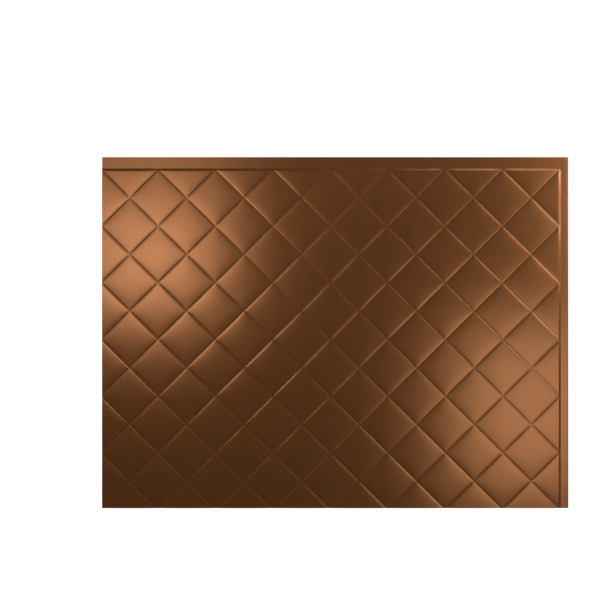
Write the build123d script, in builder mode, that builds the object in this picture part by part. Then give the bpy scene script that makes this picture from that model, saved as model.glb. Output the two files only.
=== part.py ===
"""Thin formed vinyl wall panel with a quilted diamond relief and a lapping flange on two edges.

Sizes are in millimetres. The panel lies flat on its back: the flange rests on z = 0, the
decorated face looks up, +X points to the narrow flange and +Y to the wide flange.
"""

import os
from math import cos, hypot, radians, sin

from build123d import *

# Sheet
sheet_thickness = 0.76

# Diamond field: grooves with sloping sides between pillows that crown up from their shoulders
columns = 8
rows = 6
diamond_width = 75.8
diamond_height = 74.9
groove_depth = 0.4
groove_half_width = 2.2
crown_rise = 0.6
crown_fullness = 0.26

# Step round the field and the plain flange outside it
right_flange = 10.25
top_flange = 14.85
right_foot = 1.0
top_foot = 1.4
lap_clearance = 0.7
wall_draft = 55.0
step_corner_radius = 3.2
block_margin = 0.1

# Sizes that follow from the ones above
groove_level = 2 * sheet_thickness
relief_height = groove_depth + crown_rise
left_trim = right_foot + lap_clearance
bottom_trim = top_foot + lap_clearance
field_width = columns * diamond_width
field_height = rows * diamond_height
panel_width = field_width - left_trim + right_foot + right_flange
panel_height = field_height - bottom_trim + top_foot + top_flange
foot_x = panel_width / 2 - right_flange
foot_y = panel_height / 2 - top_flange
field_x = foot_x - right_foot - field_width / 2
field_y = foot_y - top_foot - field_height / 2
half_width = diamond_width / 2
half_height = diamond_height / 2
side_distance = half_width * half_height / hypot(half_width, half_height)
shoulder_scale = 1 - groove_half_width / side_distance
wall_inset = sheet_thickness * (1 - sin(radians(wall_draft))) / cos(radians(wall_draft))


def diamond_corners(scale, level):
    """Right, upper, left and lower corner of a diamond about the origin."""
    x = scale * half_width
    y = scale * half_height
    return [(x, 0, level), (0, y, level), (-x, 0, level), (0, -y, level)]


def pillow_faces(level):
    """One diamond of the quilting: four groove sides and the crown that they carry.

    The crown's height is one profile along each pair of sides times the same profile along the
    other pair, and the profile falls from 1 by shares of the distance squared and to the fourth.
    """
    outer = diamond_corners(1, level)
    inner = diamond_corners(shoulder_scale, level + groove_depth)
    sides = [
        Face(Wire.make_polygon([outer[k - 1], outer[k], inner[k], inner[k - 1]]))
        for k in range(4)
    ]
    profile = [0, 2 - crown_fullness, 4 * crown_fullness / 3, 2 - crown_fullness, 0]
    points = []
    for i, along_u in enumerate(profile):
        u = i / 4 - 0.5
        row = []
        for j, along_v in enumerate(profile):
            v = j / 4 - 0.5
            x = shoulder_scale * half_width * (u + v)
            y = shoulder_scale * half_height * (v - u)
            row.append((x, y, level + groove_depth + crown_rise * along_u * along_v))
        points.append(row)
    return [*sides, Face.make_bezier_surface(points)]


def quilted_skin(level):
    """The whole quilted surface, its grooves at the given level, reaching past the field all round."""
    pillow = pillow_faces(level)
    middle = Location((field_x, field_y, 0))
    even = GridLocations(diamond_width, diamond_height, columns + 2, rows + 1)
    odd = GridLocations(diamond_width, diamond_height, columns + 1, rows + 2)
    places = [middle * place for grid in (even, odd) for place in grid]
    return Shell([face.moved(place) for place in places for face in pillow])


def drafted_block(level, inset):
    """A block under the field with drafted walls, reaching well past the two edges that are cut flush."""
    reach_x = foot_x - inset
    reach_y = foot_y - inset
    past = diamond_width / 4
    with BuildPart() as block:
        with BuildSketch(Plane.XY.offset(level)):
            with BuildLine():
                FilletPolyline(
                    (-panel_width / 2 - past, -panel_height / 2 - past),
                    (reach_x, -panel_height / 2 - past),
                    (reach_x, reach_y),
                    (-panel_width / 2 - past, reach_y),
                    radius=step_corner_radius - inset,
                    close=True,
                )
            make_face()
        extrude(amount=sheet_thickness + relief_height + block_margin, taper=wall_draft)
    return block.part.solid()


# The raised field: a drafted block trimmed to the quilted face, and the hollow behind the sheet
raised = drafted_block(sheet_thickness, 0).split(quilted_skin(groove_level), Keep.ALL)
hollow = drafted_block(0, wall_inset).split(quilted_skin(groove_level - sheet_thickness), Keep.ALL)

# The formed sheet
with BuildPart() as quilted_panel:
    with BuildSketch():
        Rectangle(panel_width, panel_height)
    extrude(amount=sheet_thickness)
    add(raised.sort_by(Axis.Z)[0])
    add(hollow.sort_by(Axis.Z)[0], mode=Mode.SUBTRACT)
    with BuildSketch():
        Rectangle(panel_width, panel_height)
    extrude(amount=groove_level + relief_height + block_margin, mode=Mode.INTERSECT)

os.makedirs("parts", exist_ok=True)
quilted_panel.part.label = "quilted_panel"
export_step(quilted_panel.part, "parts/quilted_panel.step")
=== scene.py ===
"""A formed vinyl wall panel with quilted diamonds, lying flat and seen from straight above."""

from math import hypot, radians

import bmesh
import bpy
import numpy as np
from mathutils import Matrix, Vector


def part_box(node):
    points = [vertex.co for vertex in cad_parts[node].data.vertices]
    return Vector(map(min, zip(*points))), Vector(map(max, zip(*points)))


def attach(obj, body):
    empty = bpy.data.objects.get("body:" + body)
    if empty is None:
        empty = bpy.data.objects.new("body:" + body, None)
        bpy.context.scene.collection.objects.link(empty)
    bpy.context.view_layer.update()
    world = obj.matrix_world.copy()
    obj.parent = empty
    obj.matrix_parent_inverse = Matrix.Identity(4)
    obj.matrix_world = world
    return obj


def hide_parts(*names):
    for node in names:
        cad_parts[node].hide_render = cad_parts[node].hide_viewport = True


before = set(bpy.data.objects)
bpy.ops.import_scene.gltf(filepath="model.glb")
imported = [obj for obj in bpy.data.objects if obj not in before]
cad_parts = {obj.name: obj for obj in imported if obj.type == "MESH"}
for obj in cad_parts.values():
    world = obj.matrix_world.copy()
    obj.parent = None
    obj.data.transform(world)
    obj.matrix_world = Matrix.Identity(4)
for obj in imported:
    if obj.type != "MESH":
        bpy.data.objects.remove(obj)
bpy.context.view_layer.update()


# The panel: one thin vinyl sheet, drawn over a mould so that its face stands up in quilted diamonds.
# A step drops from the field to a plain lapping flange along the top and right edges. The left and
# bottom edges are cut straight through the pattern. Sizes are in millimetres.

sheet_thickness = 0.76
diamond_width = 75.8
diamond_height = 74.9
groove_depth = 0.18
groove_half_width = 2.25
groove_softness = 0.35
notch_depth = 0.10
notch_half_width = 1.0
notch_softness = 0.25
crown_rise = 0.79
crown_fullness = 0.225
groove_sink = 0.08
right_flange = 10.25
top_flange = 15.25
right_foot = 1.0
top_foot = 1.0
step_width = 2.6
step_corner = 3.2
foot_softness = 0.15
right_crest = 0.2
top_crest = 0.8
edge_roll = 0.18
edge_roll_width = 4.5

per_metre = 1000
low_corner, high_corner = (per_metre * np.array(corner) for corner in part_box("quilted_panel"))
foot_line = high_corner[:2] - (right_flange, top_flange)
pattern_corner = foot_line - (right_foot, top_foot)
side_distance = diamond_width * diamond_height / 2 / hypot(diamond_width, diamond_height)
level_of_grooves = sheet_thickness - groove_sink


def smooth_least(a, b, softness):
    """The lesser of two heights, with the bend between them rounded over about the softness."""
    return (a + b - np.sqrt((a - b) ** 2 + softness**2)) / 2


def straight_side(out, half_width, softness):
    """A groove side climbing straight from 0 at its line to 1 at its half width, with a soft shoulder."""
    return 1 - np.logaddexp(0, (half_width - out) / softness) / np.logaddexp(0, half_width / softness)


def quilted_height(x, y):
    """Height of the quilting above its groove bottoms.

    Two families of slanting lines, u and v, cross at the diamonds' corners. Out of each line the face
    climbs a steep notch, then a wider groove side, and over the diamond it crowns by 1 less shares of
    the distance squared and to the fourth. Each of the three heights is the product of both families'.
    """
    across = (x - pattern_corner[0]) / diamond_width
    along = (y - pattern_corner[1]) / diamond_height
    groove = groove_depth
    notch = notch_depth
    crown = crown_rise
    for line in (across + along, across - along):
        from_middle = np.abs(2 * (line - np.floor(line)) - 1)
        out = (1 - from_middle) * side_distance
        groove = groove * straight_side(out, groove_half_width, groove_softness)
        notch = notch * straight_side(out, notch_half_width, notch_softness)
        crown = crown * (1 - crown_fullness * from_middle**2 - (1 - crown_fullness) * from_middle**4)
    return groove + notch + crown


def face_height(x, y):
    """Height of the sheet's face above its back plane.

    The step is a slope of even width from the foot line up to the quilting, rounded in plan at the
    corner. It ends in a sharp crest on the right and rolls over softly along the top. The flange's
    right edge rolls off by the square of the way into the roll.
    """
    inside_x = foot_line[0] - x
    inside_y = foot_line[1] - y
    to_corner = np.hypot(np.minimum(inside_x - step_corner, 0), np.minimum(inside_y - step_corner, 0))
    inside = step_corner - to_corner + np.maximum(np.minimum(inside_x, inside_y) - step_corner, 0)
    least = 0.01
    from_right = np.maximum(inside_x, least)
    from_top = np.maximum(inside_y, least)
    crest = right_crest + (top_crest - right_crest) * from_right / (from_right + from_top)
    climb = smooth_least(inside + crest**2 / (4 * step_width), step_width, crest)
    climb = -smooth_least(-climb, 0, foot_softness)
    roll = edge_roll * np.maximum(1 - (high_corner[0] - x) / edge_roll_width, 0) ** 2
    return sheet_thickness - roll + (level_of_grooves + quilted_height(x, y)) * climb / step_width


def face_normal(x, y):
    """Unit normals of the face, from its slope between two near points each way."""
    near = 0.01
    slope_x = (face_height(x + near, y) - face_height(x - near, y)) / (2 * near)
    slope_y = (face_height(x, y + near) - face_height(x, y - near)) / (2 * near)
    normal = np.stack([-slope_x, -slope_y, np.ones_like(x)], axis=1)
    return normal / np.linalg.norm(normal, axis=1, keepdims=True)


def flat_lattice():
    """A flat mesh of small diamonds whose lines run along the grooves, closer together near each groove.

    The point at u and v lies half of u + v diamonds across and half of u - v diamonds up from the
    pattern's corner, so the whole numbers of u and v are the grooves.
    """
    out_of_groove = np.array([0, 0.5, 0.95, 1.4, 2.0, 2.8, 4.6, 9.0, 17.0])
    share = out_of_groove / side_distance / 2
    cell = np.concatenate([share, [0.5], 1 - share[:0:-1]])
    reach = (high_corner - low_corner)[:2] / (diamond_width, diamond_height)
    cells = int(np.ceil(reach.sum())) + 2
    u_lines = (np.arange(-cells, 2)[:, None] + cell).ravel()
    v_lines = (np.arange(-cells, cells)[:, None] + cell).ravel()
    v_lines = v_lines[np.abs(v_lines) < reach.max() + 1]
    u, v = np.meshgrid(u_lines, v_lines, indexing="ij")
    x = pattern_corner[0] + diamond_width * (u + v) / 2
    y = pattern_corner[1] + diamond_height * (u - v) / 2
    points = np.stack([x.ravel(), y.ravel(), np.zeros(u.size)], axis=1)
    number = np.arange(u.size).reshape(u.shape)
    around = [number[:-1, :-1], number[:-1, 1:], number[1:, 1:], number[1:, :-1]]
    quads = np.stack(around, axis=-1).reshape(-1, 4)
    margin = 4.0
    plan = points[quads][..., :2]
    keep = (plan > low_corner[:2] - margin).any(1).all(1) & (plan < high_corner[:2] + margin).any(1).all(1)
    used, quads = np.unique(quads[keep], return_inverse=True)
    mesh = bpy.data.meshes.new("flat_lattice")
    mesh.from_pydata(points[used], [], quads.reshape(-1, 4))
    return mesh


def cut_sheet(mesh):
    """Cuts the lattice to the outline, and along lines where the step and the rolled edge bend."""
    step_lines = (-0.6, -0.25, -0.08, 0.08, 0.25, 0.6, 1.2, 1.8, 2.2, 2.4, 2.65, 3.1, 4.0, 5.5)
    edge_lines = (1.1, 2.2, 3.3, 4.4)
    snap = 0.02
    cuts = [(low_corner[0], 0, -1, True), (low_corner[1], 1, -1, True)]
    cuts += [(high_corner[0], 0, 1, True), (high_corner[1], 1, 1, True)]
    cuts += [(foot_line[axis] - line, axis, 1, False) for axis in (0, 1) for line in step_lines]
    cuts += [(high_corner[0] - line, 0, 1, False) for line in edge_lines]
    sheet = bmesh.new()
    sheet.from_mesh(mesh)
    for place, axis, way, trim in cuts:
        point = Vector((0, 0, 0))
        normal = Vector((0, 0, 0))
        point[axis] = place
        normal[axis] = way
        parts = sheet.verts[:] + sheet.edges[:] + sheet.faces[:]
        bmesh.ops.bisect_plane(
            sheet, geom=parts, dist=snap, plane_co=point, plane_no=normal, clear_outer=trim
        )
    sheet.to_mesh(mesh)
    sheet.free()
    return mesh


def formed_sheet(name, flat):
    """The closed sheet: the lattice raised to the face, a back one thickness below, and a rim between.

    Each corner of a face takes the surface's slope a little way towards the middle of that face, so
    that the two sides of a groove meet in a clean line. The rim's faces look straight out.
    """
    count = len(flat.vertices)
    plan = np.empty(3 * count)
    flat.vertices.foreach_get("co", plan)
    plan = plan.reshape(-1, 3)[:, :2].clip(low_corner[:2], high_corner[:2])
    corners = np.empty(len(flat.loops), dtype=np.int32)
    flat.loops.foreach_get("vertex_index", corners)
    starts = np.empty(len(flat.polygons), dtype=np.int32)
    flat.polygons.foreach_get("loop_start", starts)
    sides = np.diff(np.append(starts, corners.size))
    place = np.arange(corners.size)
    first = np.repeat(starts, sides)
    last = first + np.repeat(sides, sides) - 1
    following = corners[np.where(place == last, first, place + 1)]
    backward = corners[first + last - place] + count
    forward_keys = corners.astype(np.int64) * count + following
    backward_keys = following.astype(np.int64) * count + corners
    rim = ~np.isin(forward_keys, backward_keys)
    rim_from, rim_to = corners[rim], following[rim]
    rim_corners = np.stack([rim_to, rim_from, rim_from + count, rim_to + count], axis=1)

    z = face_height(plan[:, 0], plan[:, 1])
    face_points = np.column_stack([plan, z])
    back_points = np.column_stack([plan, np.maximum(z - sheet_thickness, 0)])
    towards_middle = 0.05
    middle = np.add.reduceat(plan[corners], starts, axis=0) / sides[:, None]
    beside = plan[corners] + towards_middle * (np.repeat(middle, sides, axis=0) - plan[corners])
    normals = face_normal(beside[:, 0], beside[:, 1])
    edge_way = plan[rim_to] - plan[rim_from]
    rim_normals = np.column_stack([edge_way[:, 1], -edge_way[:, 0], np.zeros(len(edge_way))])
    rim_normals /= np.linalg.norm(rim_normals, axis=1, keepdims=True)

    all_points = np.concatenate([face_points, back_points]) / per_metre
    all_corners = np.concatenate([corners, backward, rim_corners.ravel()])
    rim_starts = 2 * corners.size + 4 * np.arange(len(rim_from))
    all_starts = np.concatenate([starts, starts + corners.size, rim_starts])
    corner_normals = np.concatenate(
        [normals, -normals[first + last - place], np.repeat(rim_normals, 4, axis=0)]
    )
    finish = np.concatenate([np.zeros(starts.size), np.ones(all_starts.size - starts.size)])
    mesh = bpy.data.meshes.new(name)
    mesh.vertices.add(2 * count)
    mesh.vertices.foreach_set("co", all_points.ravel())
    mesh.loops.add(all_corners.size)
    mesh.loops.foreach_set("vertex_index", all_corners.astype(np.int32))
    mesh.polygons.add(all_starts.size)
    mesh.polygons.foreach_set("loop_start", all_starts.astype(np.int32))
    mesh.polygons.foreach_set("material_index", finish.astype(np.int32))
    mesh.update(calc_edges=True)
    mesh.validate()
    mesh.polygons.foreach_set("use_smooth", np.ones(all_starts.size, dtype=bool))
    mesh.normals_split_custom_set(corner_normals)
    piece = bpy.data.objects.new(name, mesh)
    bpy.context.scene.collection.objects.link(piece)
    return piece


class Socket:
    """A node's output, on which the operators add Math nodes."""

    def __init__(self, tree, output):
        self.tree = tree
        self.output = output

    def math(self, operation, *terms):
        return self.node("ShaderNodeMath", {"operation": operation}, dict(enumerate(terms)))

    def node(self, kind, settings, inputs, output=0):
        """Adds a node of any type: settings first, a ramp's stops among them, then values or links."""
        made = self.tree.nodes.new(kind)
        for key, value in settings.items():
            if key == "stops":
                ramp = made.color_ramp
                for stop, (at, colour) in enumerate(value):
                    element = ramp.elements[stop] if stop < 2 else ramp.elements.new(at)
                    element.position = at
                    element.color = (*colour, 1)
            else:
                setattr(made, key, value)
        for key, value in inputs.items():
            if isinstance(value, Socket):
                self.tree.links.new(value.output, made.inputs[key])
            else:
                made.inputs[key].default_value = value
        return Socket(self.tree, made.outputs[output])

    def __add__(self, other):
        return self.math("ADD", self, other)

    def __mul__(self, other):
        return self.math("MULTIPLY", self, other)

    __radd__ = __add__
    __rmul__ = __mul__


def new_finish(name, **constants):
    """A material with one Principled shader, its constants set, and the position on the piece."""
    material = bpy.data.materials.new(name)
    material.use_nodes = True
    shader = material.node_tree.nodes["Principled BSDF"]
    for socket, value in constants.items():
        shader.inputs[socket.replace("_", " ")].default_value = value
    start = Socket(material.node_tree, None)
    position = start.node("ShaderNodeTexCoord", {}, {}, "Object")
    return material, shader, position


def link(value, shader, socket):
    """Feeds a value that changes over the surface to one of the shader's sockets."""
    value.tree.links.new(value.output, shader.inputs[socket])


deep_bronze = (0.35, 0.122, 0.027)
pale_bronze = (0.39, 0.138, 0.031)
film_roughness = 0.33
film_roughness_spread = 0.06
grain_share = 0.7
grain_height = 0.08

bronze, shader, position = new_finish(
    "satin_bronze_film", Metallic=0.9, Coat_Weight=0.9, Coat_Roughness=0.33, Coat_IOR=1.5
)
streaks = position.node("ShaderNodeMapping", {}, {"Vector": position, "Scale": (900, 12, 40)})
grain = position.node("ShaderNodeTexNoise", {}, {"Vector": streaks, "Scale": 1.0, "Detail": 3.0}, "Fac")
cloud = position.node("ShaderNodeTexNoise", {}, {"Vector": position, "Scale": 14.0, "Detail": 2.0}, "Fac")
shade = grain * grain_share + cloud * (1 - grain_share)
colour = position.node(
    "ShaderNodeValToRGB", {"stops": [(0.3, deep_bronze), (0.7, pale_bronze)]}, {"Fac": shade}
)
link(colour, shader, "Base Color")
link(grain * film_roughness_spread + film_roughness, shader, "Roughness")
uneven = position.node("ShaderNodeTexNoise", {}, {"Vector": position, "Scale": 42.0, "Detail": 1.5}, "Fac")
relief = position.node(
    "ShaderNodeBump", {}, {"Strength": 1.0, "Distance": 0.00012, "Height": uneven + grain * grain_height}
)
link(relief, shader, "Normal")

deep_brown = (0.030, 0.016, 0.009)
pale_brown = (0.042, 0.023, 0.013)
back_roughness = 0.45
back_roughness_spread = 0.2

vinyl, shader, position = new_finish("plain_brown_vinyl", Metallic=0.0)
streaks = position.node("ShaderNodeMapping", {}, {"Vector": position, "Scale": (60, 8, 60)})
smear = position.node("ShaderNodeTexNoise", {}, {"Vector": streaks, "Scale": 1.0, "Detail": 4.0}, "Fac")
colour = position.node(
    "ShaderNodeValToRGB", {"stops": [(0.3, deep_brown), (0.7, pale_brown)]}, {"Fac": smear}
)
link(colour, shader, "Base Color")
link(smear * back_roughness_spread + back_roughness, shader, "Roughness")

flat_sheet = cut_sheet(flat_lattice())
panel = formed_sheet("quilted_sheet", flat_sheet)
bpy.data.meshes.remove(flat_sheet)
panel.data.materials.append(bronze)
panel.data.materials.append(vinyl)
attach(panel, "root")
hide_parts("quilted_panel")


# The floor: a white studio sweep, flat under the panel and curling up far away, so that every side
# has a pale background. It lies just under the panel's back and takes its shadow.

def studio_floor(name, level, flat_radius, curl_radius, rings, turns):
    """A disc turned about the middle: level out to the flat radius, then a quarter circle upwards."""
    flat = np.array([0.5, 2.0, flat_radius])
    bend = np.linspace(0, np.pi / 2, rings)[1:]
    radius = np.concatenate([flat, flat_radius + curl_radius * np.sin(bend)])[:, None]
    height = level + np.concatenate([0 * flat, curl_radius * (1 - np.cos(bend))])[:, None]
    angle = np.linspace(0, 2 * np.pi, turns, endpoint=False)
    circles = np.stack([radius * np.cos(angle), radius * np.sin(angle), height + 0 * angle], axis=-1)
    points = np.concatenate([[[0.0, 0.0, level]], circles.reshape(-1, 3)])
    ring, step = np.meshgrid(np.arange(len(radius) - 1), np.arange(turns), indexing="ij")
    inner = 1 + ring * turns
    outer = inner + turns
    beside = (step + 1) % turns
    quads = np.stack([inner + step, outer + step, outer + beside, inner + beside], axis=-1).reshape(-1, 4)
    spokes = np.stack([0 * step[0], 1 + step[0], 1 + beside[0]], axis=1)
    mesh = bpy.data.meshes.new(name)
    mesh.from_pydata(points, [], spokes.tolist() + quads.tolist())
    mesh.polygons.foreach_set("use_smooth", np.ones(len(mesh.polygons), dtype=bool))
    piece = bpy.data.objects.new(name, mesh)
    bpy.context.scene.collection.objects.link(piece)
    return piece


floor = studio_floor("studio_floor", level=-0.0004, flat_radius=7.0, curl_radius=0.3, rings=12, turns=96)
white, shader, position = new_finish("white_floor", Base_Color=(0.8, 0.8, 0.8, 1), Roughness=0.9)
ray_kinds = ("Camera", "Glossy", "Transmission")
by_camera, by_gloss, by_glass = (
    position.node("ShaderNodeLightPath", {}, {}, f"Is {kind} Ray") for kind in ray_kinds
)
seen = by_camera.math("MAXIMUM", by_camera.math("MAXIMUM", by_camera, by_gloss), by_glass)
glow = position.node("ShaderNodeEmission", {}, {"Color": (1, 1, 1, 1), "Strength": 0.95})
plain = Socket(white.node_tree, shader.outputs[0])
lit = position.node("ShaderNodeAddShader", {}, {0: plain, 1: glow})
shown = position.node("ShaderNodeMixShader", {}, {0: seen, 1: plain, 2: lit})
white.node_tree.links.new(shown.output, white.node_tree.nodes["Material Output"].inputs["Surface"])
floor.data.materials.append(white)


# The studio: a camera straight above and soft lamps over the left and the lower right of the panel,
# each with a smaller one beside it. Lamps further out, at the top and the right, light the grooves and
# the step from the side, and a dim warm room light fills the rest.

camera_place = Vector((-0.0466, 0.043, 2.202))
lens = bpy.data.cameras.new("camera")
lens.lens = 100
lens.sensor_width = 36
lens.clip_end = 100
camera = bpy.data.objects.new("camera", lens)
camera.location = camera_place
bpy.context.scene.collection.objects.link(camera)
bpy.context.scene.camera = camera


def soft_lamp(name, mirror, size, power, height=0.41, tilt=0):
    """A lamp looking down, placed so that a flat sheet would mirror it to the camera at the given point."""
    rise = 1 + height / camera_place.z
    light = bpy.data.lights.new(name, "AREA")
    light.shape = "RECTANGLE"
    light.size, light.size_y = size
    light.energy = power
    lamp = bpy.data.objects.new(name, light)
    lamp.location = camera_place.xy.lerp(Vector(mirror), rise).to_3d() + Vector((0, 0, height))
    lamp.rotation_euler = (0, radians(tilt), 0)
    lamp.visible_camera = False
    bpy.context.scene.collection.objects.link(lamp)


soft_lamp("left_lamp", mirror=(-0.253, 0.097), size=(0.20, 0.145), power=0.255)
soft_lamp("left_upper", mirror=(-0.255, 0.215), size=(0.26, 0.10), power=0.086)
soft_lamp("right_lamp", mirror=(0.266, -0.101), size=(0.24, 0.26), power=0.275)
soft_lamp("right_upper", mirror=(0.385, 0.17), size=(0.06, 0.28), power=0.125)
soft_lamp("top_lamp", mirror=(0.05, 0.26), size=(0.80, 0.20), power=0.03)
soft_lamp("near_strip", mirror=(0.420, 0.42), size=(0.10, 0.24), power=0.43)
soft_lamp("far_lamp", mirror=(0.300, 0.85), size=(0.22, 0.6), power=1.3)
soft_lamp("side_lamp", mirror=(0.635, 0.240), size=(0.55, 0.16), power=1.5, height=0.45, tilt=60)

room = bpy.data.worlds.new("room")
room.use_nodes = True
room.node_tree.nodes["Background"].inputs["Color"].default_value = (1, 0.83, 0.54, 1)
room.node_tree.nodes["Background"].inputs["Strength"].default_value = 0.132
bpy.context.scene.world = room
bpy.context.scene.view_settings.view_transform = "Standard"
